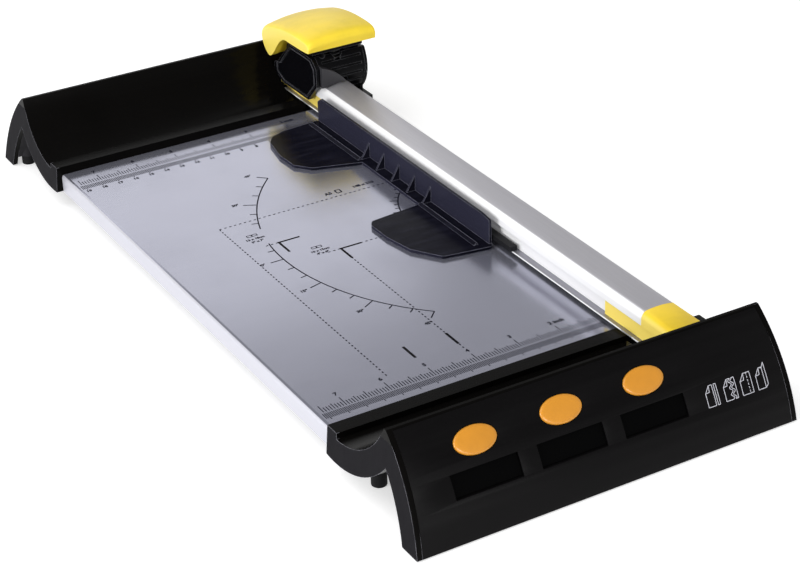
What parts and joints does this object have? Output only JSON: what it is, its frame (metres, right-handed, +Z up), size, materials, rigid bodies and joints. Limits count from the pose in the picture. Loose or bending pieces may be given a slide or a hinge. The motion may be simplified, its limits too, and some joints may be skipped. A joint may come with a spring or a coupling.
{
  "type": "rotary paper trimmer",
  "caption": "Desktop rotary paper trimmer: flat bed between two curved end housings, with a clamping rail, a sliding cutting head, a paper guide and spare blades in the front housing.",
  "frame": {"origin": "middle of the footprint, on the floor that the feet stand on", "axes": "+X towards the cutting side, +Y towards the parked head at the rear, +Z up; the long side runs along Y"},
  "size_m": [0.2178, 0.5064, 0.0773],
  "materials": {
    "bed_metal": "brushed, printed scales",
    "frame_plastic": "matt",
    "mat": "matt, self healing",
    "housing_plastic": "gloss trough, satin ends",
    "fascia_plastic": "satin gloss",
    "cover_plastic": "matt",
    "foot_rubber": "matt",
    "screw_steel": "plated",
    "spring_steel": "bright",
    "blade_steel": "ground",
    "rail_metal": "brushed top, polished sides",
    "strip_metal": "bright",
    "grip_rubber": "matt",
    "cap_yellow": "semi gloss",
    "button_yellow": "semi gloss",
    "handle_yellow": "semi gloss",
    "head_plastic": "satin gloss",
    "saddle_plastic": "matt",
    "pad_plastic": "low friction",
    "cartridge_plastic": "matt",
    "smoke_plastic": "smoked, translucent",
    "slider_plastic": "matt"
  },
  "bodies": {
    "base": {"board": "bed_metal", "base_frame": "frame_plastic", "cutting_mat": "mat", "front_housing": "housing_plastic", "front_fascia": "fascia_plastic", "front_belly_cover": "cover_plastic", "rear_housing": "housing_plastic", "rear_fascia": "fascia_plastic", "rear_belly_cover": "cover_plastic", "tray_left": "frame_plastic", "tray_middle": "frame_plastic", "tray_right": "frame_plastic", "foot_front_left": "foot_rubber", "foot_front_right": "foot_rubber", "foot_rear_left": "foot_rubber", "foot_rear_right": "foot_rubber", "leg_foot_front_left": "foot_rubber", "leg_foot_front_right": "foot_rubber", "leg_foot_rear_left": "foot_rubber", "leg_foot_rear_right": "foot_rubber", "bumper_front": "foot_rubber", "bumper_rear": "foot_rubber", "frame_screws": "screw_steel", "cover_screws": "screw_steel", "rail_spring_front": "spring_steel", "rail_spring_rear": "spring_steel", "button_spring_left": "spring_steel", "button_spring_middle": "spring_steel", "button_spring_right": "spring_steel"},
    "rail": {"rail": "rail_metal", "rail_cap_front": "cap_yellow", "rail_cap_rear": "cap_yellow", "clamp_strip": "strip_metal", "grip_strip": "grip_rubber", "rail_screws": "screw_steel"},
    "carriage": {"carriage": "head_plastic", "side_plate": "head_plastic", "saddle": "saddle_plastic", "glide_pads": "pad_plastic", "end_cover": "head_plastic", "end_cover_screws": "screw_steel", "handle_spring_front": "spring_steel", "handle_spring_rear": "spring_steel"},
    "head": {"handle": "handle_yellow", "yoke": "head_plastic", "yoke_screws": "screw_steel", "blade_cartridge": "cartridge_plastic"},
    "blade": {"blade": "blade_steel", "blade_axle": "blade_steel"},
    "guide": {"paper_guide": "smoke_plastic", "guide_slider": "slider_plastic"},
    "button_left": {"button_left": "button_yellow"},
    "spare_left": {"spare_cartridge_left": "cartridge_plastic", "spare_blade_left": "blade_steel"},
    "button_middle": {"button_middle": "button_yellow"},
    "spare_middle": {"spare_cartridge_middle": "cartridge_plastic", "spare_blade_middle": "blade_steel"},
    "button_right": {"button_right": "button_yellow"},
    "spare_right": {"spare_cartridge_right": "cartridge_plastic", "spare_blade_right": "blade_steel"}
  },
  "joints": [
    {"name": "clamp_press", "type": "slide", "parent": "base", "child": "rail", "axis": [0, 0, -1], "range_m": [0, 0.0015], "stiffness_N_per_m": 2500, "springref_m": -0.003, "deforming": ["rail_spring_front", "rail_spring_rear"]},
    {"name": "head_slide", "type": "slide", "parent": "rail", "child": "carriage", "axis": [0, -1, 0], "range_m": [0, 0.3532]},
    {"name": "handle_press", "type": "slide", "parent": "carriage", "child": "head", "axis": [0, 0, -1], "range_m": [0, 0.003], "stiffness_N_per_m": 1200, "springref_m": -0.004, "deforming": ["handle_spring_front", "handle_spring_rear"]},
    {"name": "blade_spin", "type": "hinge", "parent": "head", "child": "blade", "pos_m": [0.0914, 0.1766, 0.0407], "axis": [1, 0, 0], "continuous": true},
    {"name": "guide_slide", "type": "slide", "parent": "base", "child": "guide", "axis": [0, 1, 0], "range_m": [-0.113, 0.02]},
    {"name": "button_left_press", "type": "slide", "parent": "base", "child": "button_left", "axis": [0, 0.757, -0.6534], "range_m": [0, 0.0022], "stiffness_N_per_m": 400, "springref_m": -0.0015, "deforming": ["button_spring_left"]},
    {"name": "button_middle_press", "type": "slide", "parent": "base", "child": "button_middle", "axis": [0, 0.757, -0.6534], "range_m": [0, 0.0022], "stiffness_N_per_m": 400, "springref_m": -0.0015, "deforming": ["button_spring_middle"]},
    {"name": "button_right_press", "type": "slide", "parent": "base", "child": "button_right", "axis": [0, 0.757, -0.6534], "range_m": [0, 0.0022], "stiffness_N_per_m": 400, "springref_m": -0.0015, "deforming": ["button_spring_right"]},
    {"name": "spare_left_draw", "type": "slide", "parent": "base", "child": "spare_left", "axis": [0, -1, 0], "range_m": [0, 0.026]},
    {"name": "spare_middle_draw", "type": "slide", "parent": "base", "child": "spare_middle", "axis": [0, -1, 0], "range_m": [0, 0.026]},
    {"name": "spare_right_draw", "type": "slide", "parent": "base", "child": "spare_right", "axis": [0, -1, 0], "range_m": [0, 0.026]}
  ]
}
